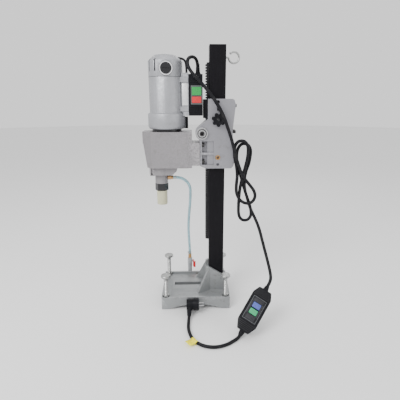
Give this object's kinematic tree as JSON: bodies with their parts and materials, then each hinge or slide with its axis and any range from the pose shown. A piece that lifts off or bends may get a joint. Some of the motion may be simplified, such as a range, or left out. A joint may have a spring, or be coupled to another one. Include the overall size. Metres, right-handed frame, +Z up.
{
  "type": "core drill rig",
  "caption": "Diamond core drill on a rack stand: motor, gearbox and water swivel on a geared carriage, square column, cast base with levelling screws, mains lead, hose and valve",
  "frame": {"origin": "centre of the base casting's rectangular footprint, on the floor", "axes": "+Z up the column; +X from the drill spindle towards the column, along the base's length; +Y away from the side with the switch, the lock knob and the mains plug"},
  "size_m": [0.4847, 0.4935, 1.005],
  "materials": {
    "base_grey": "satin grey-painted sand casting",
    "carriage_grey": "satin grey-painted sand casting",
    "gearbox_grey": "satin grey-painted die casting",
    "motor_silver": "satin silver-painted die casting",
    "column_black": "satin black powder coat",
    "zinc_steel": "bright zinc plate",
    "black_steel": "black oxide, oiled",
    "tool_steel": "machined, oiled",
    "rack_steel": "dark machined steel",
    "bearing_steel": "ground and polished",
    "bronze": "sintered bronze",
    "brass": "turned brass",
    "copper_iron": "lacquered windings on laminations",
    "carbon": "carbon in moulded holders",
    "glide_plastic": "low-friction plastic",
    "black_plastic": "fine-grained moulded plastic",
    "grey_plastic": "moulded plastic",
    "white_plastic": "moulded plastic",
    "cream_plastic": "soft moulded plastic",
    "green_plastic": "moulded plastic",
    "red_plastic": "moulded plastic",
    "blue_plastic": "moulded plastic",
    "swivel_black": "gloss black",
    "lead_rubber": "smooth cable rubber",
    "hose_pvc": "clear flexible hose, tinted",
    "seal_rubber": "oil seal rubber"
  },
  "bodies": {
    "base": {"base_casting": "base_grey", "levelling_lock_nuts": "zinc_steel", "column_tube": "column_black", "column_cap": "black_plastic", "column_bolts": "zinc_steel", "rack": "rack_steel", "rack_screws": "black_steel", "cable_hook": "zinc_steel", "hose_valve": "grey_plastic", "rcd_housing": "black_plastic", "plug_lead": "lead_rubber", "mains_plug": "lead_rubber"},
    "levelling_front_left": {"levelling_bolt_front_left": "zinc_steel"},
    "levelling_front_right": {"levelling_bolt_front_right": "zinc_steel"},
    "levelling_rear_left": {"levelling_bolt_rear_left": "zinc_steel"},
    "levelling_rear_right": {"levelling_bolt_rear_right": "zinc_steel"},
    "carriage": {"carriage_casting": "carriage_grey", "guide_pads": "glide_plastic", "adjusting_screws": "black_steel", "pinion_bushes": "bronze", "threaded_insert": "brass", "flange_bolts": "black_steel", "cable_clip": "black_plastic", "gearbox_housing": "gearbox_grey", "gearbox_cover": "gearbox_grey", "nose_cover": "gearbox_grey", "nose_screws": "black_steel", "ball_bearings": "bearing_steel", "spindle_seal": "seal_rubber", "water_swivel": "swivel_black", "water_fitting": "brass", "water_hose": "hose_pvc", "motor_housing": "motor_silver", "motor_end_cap": "motor_silver", "brush_caps": "black_plastic", "brush_gear": "carbon", "stator": "copper_iron", "switch_bracket": "motor_silver", "switch_housing": "black_plastic", "switch_bezel": "grey_plastic", "lead_gland": "black_plastic", "mains_lead": "lead_rubber", "lead_hank": "lead_rubber", "lead_drop": "lead_rubber"},
    "pinion": {"pinion_shaft": "tool_steel"},
    "lock_knob": {"lock_knob": "black_plastic"},
    "spindle": {"spindle": "tool_steel", "spindle_gear": "tool_steel", "spindle_nut": "swivel_black", "thread_sleeve": "cream_plastic"},
    "counter": {"counter_shaft": "tool_steel", "counter_gear": "tool_steel"},
    "armature": {"armature_shaft": "tool_steel", "armature_core": "copper_iron", "cooling_fan": "white_plastic"},
    "start_button": {"start_button": "green_plastic"},
    "stop_button": {"stop_button": "red_plastic"},
    "rcd_test_button": {"rcd_test_button": "blue_plastic"},
    "rcd_reset_button": {"rcd_reset_button": "green_plastic"},
    "valve_lever": {"valve_lever": "red_plastic"}
  },
  "joints": [
    {"name": "carriage_slide", "type": "slide", "parent": "base", "child": "carriage", "axis": [0, 0, 1], "range_m": [-0.35, 0.115], "deforming": ["water_hose", "lead_drop"]},
    {"name": "pinion_spin", "type": "hinge", "parent": "carriage", "child": "pinion", "pos_m": [0.028, 0, 0.698], "axis": [0, 1, 0], "range_deg": [-1345, 445]},
    {"name": "lock_knob_turn", "type": "hinge", "parent": "carriage", "child": "lock_knob", "pos_m": [0.088, -0.05, 0.748], "axis": [0, -1, 0], "range_deg": [0, 540]},
    {"name": "armature_spin", "type": "hinge", "parent": "carriage", "child": "armature", "pos_m": [-0.104, 0, 0.85], "axis": [0, 0, 1], "continuous": true},
    {"name": "counter_spin", "type": "hinge", "parent": "carriage", "child": "counter", "pos_m": [-0.10705, 0.03173, 0.62], "axis": [0, 0, 1], "continuous": true},
    {"name": "spindle_spin", "type": "hinge", "parent": "carriage", "child": "spindle", "pos_m": [-0.131, 0, 0.55], "axis": [0, 0, 1], "continuous": true},
    {"name": "start_push", "type": "slide", "parent": "carriage", "child": "start_button", "axis": [0, 1, 0], "range_m": [0, 0.003], "stiffness_N_per_m": 400},
    {"name": "stop_push", "type": "slide", "parent": "carriage", "child": "stop_button", "axis": [0, 1, 0], "range_m": [0, 0.003], "stiffness_N_per_m": 400},
    {"name": "rcd_test_push", "type": "slide", "parent": "base", "child": "rcd_test_button", "axis": [0.0879, 0.7754, -0.6253], "range_m": [0, 0.002], "stiffness_N_per_m": 300},
    {"name": "rcd_reset_push", "type": "slide", "parent": "base", "child": "rcd_reset_button", "axis": [0.0879, 0.7754, -0.6253], "range_m": [0, 0.002], "stiffness_N_per_m": 300},
    {"name": "valve_turn", "type": "hinge", "parent": "base", "child": "valve_lever", "pos_m": [-0.026, 0.13, 0.098], "axis": [1, 0, 0], "range_deg": [0, 90]},
    {"name": "levelling_front_left_screw", "type": "slide", "parent": "base", "child": "levelling_front_left", "axis": [0, 0, 1], "range_m": [-0.06, 0.05]},
    {"name": "levelling_front_right_screw", "type": "slide", "parent": "base", "child": "levelling_front_right", "axis": [0, 0, 1], "range_m": [-0.06, 0.05]},
    {"name": "levelling_rear_left_screw", "type": "slide", "parent": "base", "child": "levelling_rear_left", "axis": [0, 0, 1], "range_m": [-0.06, 0.05]},
    {"name": "levelling_rear_right_screw", "type": "slide", "parent": "base", "child": "levelling_rear_right", "axis": [0, 0, 1], "range_m": [-0.06, 0.05]}
  ],
  "couplings": [
    {"joint": "pinion_spin", "follows": "carriage_slide", "rad_per_m": 66.667},
    {"joint": "counter_spin", "follows": "armature_spin", "ratio": -0.41667},
    {"joint": "spindle_spin", "follows": "armature_spin", "ratio": 0.16447}
  ]
}
